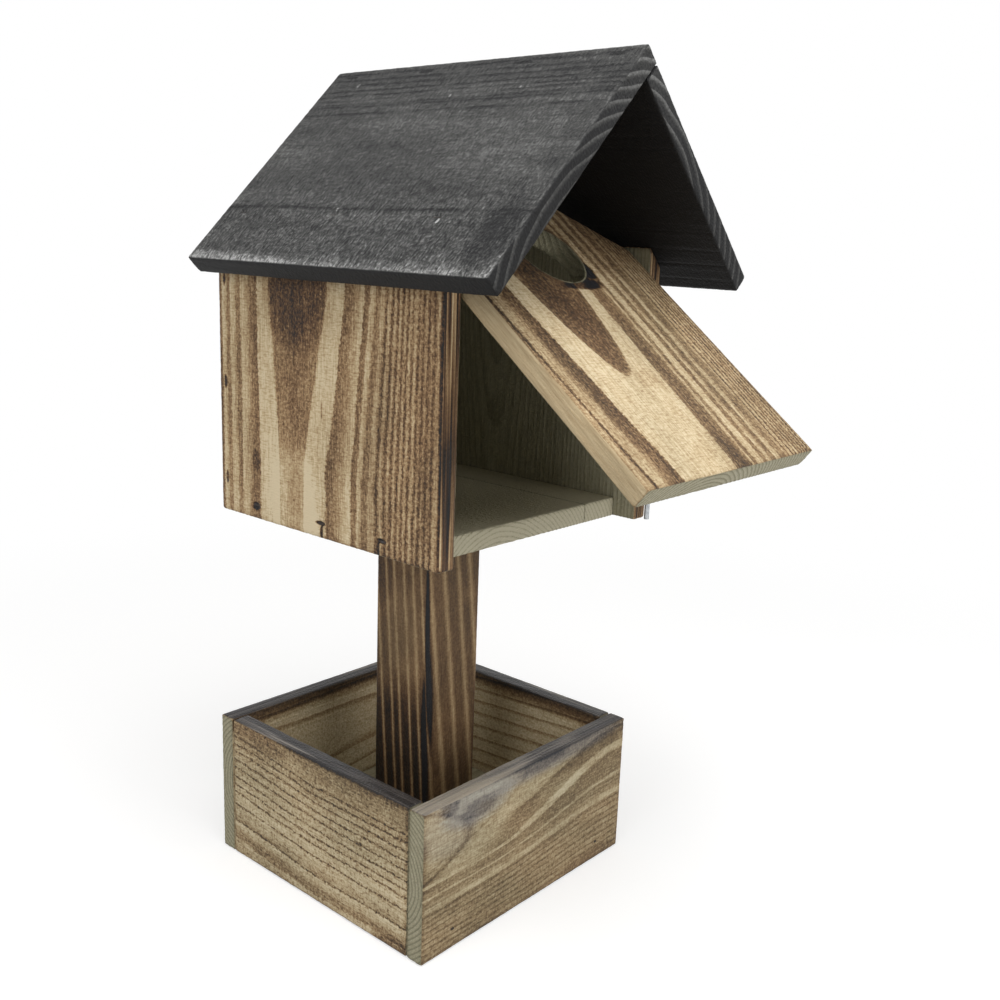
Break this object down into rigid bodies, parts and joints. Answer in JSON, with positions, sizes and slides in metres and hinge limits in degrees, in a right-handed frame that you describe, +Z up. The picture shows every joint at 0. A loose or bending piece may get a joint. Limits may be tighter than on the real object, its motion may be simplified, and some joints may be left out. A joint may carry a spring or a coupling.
{
  "type": "bird table",
  "caption": "Small gabled bird house with a hinged front flap and round entrance, standing on a post in a square planter box",
  "frame": {"origin": "middle of the planter box's underside, on the post's axis, in the plane that it stands on", "axes": "+Z up, -Y towards the side where the hinged front flap opens, +X to the right seen from the front"},
  "size_m": [0.2184, 0.2957, 0.4775],
  "materials": {
    "charred_spruce": "flame-charred and brushed spruce, unpainted",
    "roof_stain": "rough-sawn spruce under charcoal stain",
    "zinc_steel": "zinc-plated wire and nails"
  },
  "bodies": {
    "root": {"planter_front_board": "charred_spruce", "planter_back_board": "charred_spruce", "planter_left_board": "charred_spruce", "planter_right_board": "charred_spruce", "planter_floor_front_slat": "charred_spruce", "planter_floor_middle_slat": "charred_spruce", "planter_floor_back_slat": "charred_spruce", "post": "charred_spruce", "house_floor": "charred_spruce", "left_side_panel": "charred_spruce", "right_side_panel": "charred_spruce", "back_panel": "charred_spruce", "left_roof_board": "roof_stain", "right_roof_board": "roof_stain", "left_pivot_nail": "zinc_steel", "right_pivot_nail": "zinc_steel", "planter_corner_brads": "zinc_steel", "planter_floor_brads": "zinc_steel", "post_foot_screws": "zinc_steel", "post_head_screws": "zinc_steel", "back_panel_brads": "zinc_steel", "left_floor_staples": "zinc_steel", "right_floor_staples": "zinc_steel", "left_roof_staples": "zinc_steel", "right_roof_staples": "zinc_steel", "ridge_staples": "zinc_steel"},
    "front_flap": {"front_flap": "charred_spruce"},
    "turn_hook": {"turn_hook": "zinc_steel"}
  },
  "joints": [
    {"name": "flap_hinge", "type": "hinge", "parent": "root", "child": "front_flap", "pos_m": [0, -0.089, 0.3665], "axis": [-1, 0, 0], "range_deg": [-52, 48]},
    {"name": "hook_turn", "type": "hinge", "parent": "root", "child": "turn_hook", "pos_m": [0.0835, -0.095, 0.2375], "axis": [0, 1, 0], "range_deg": [-90, 90]}
  ]
}
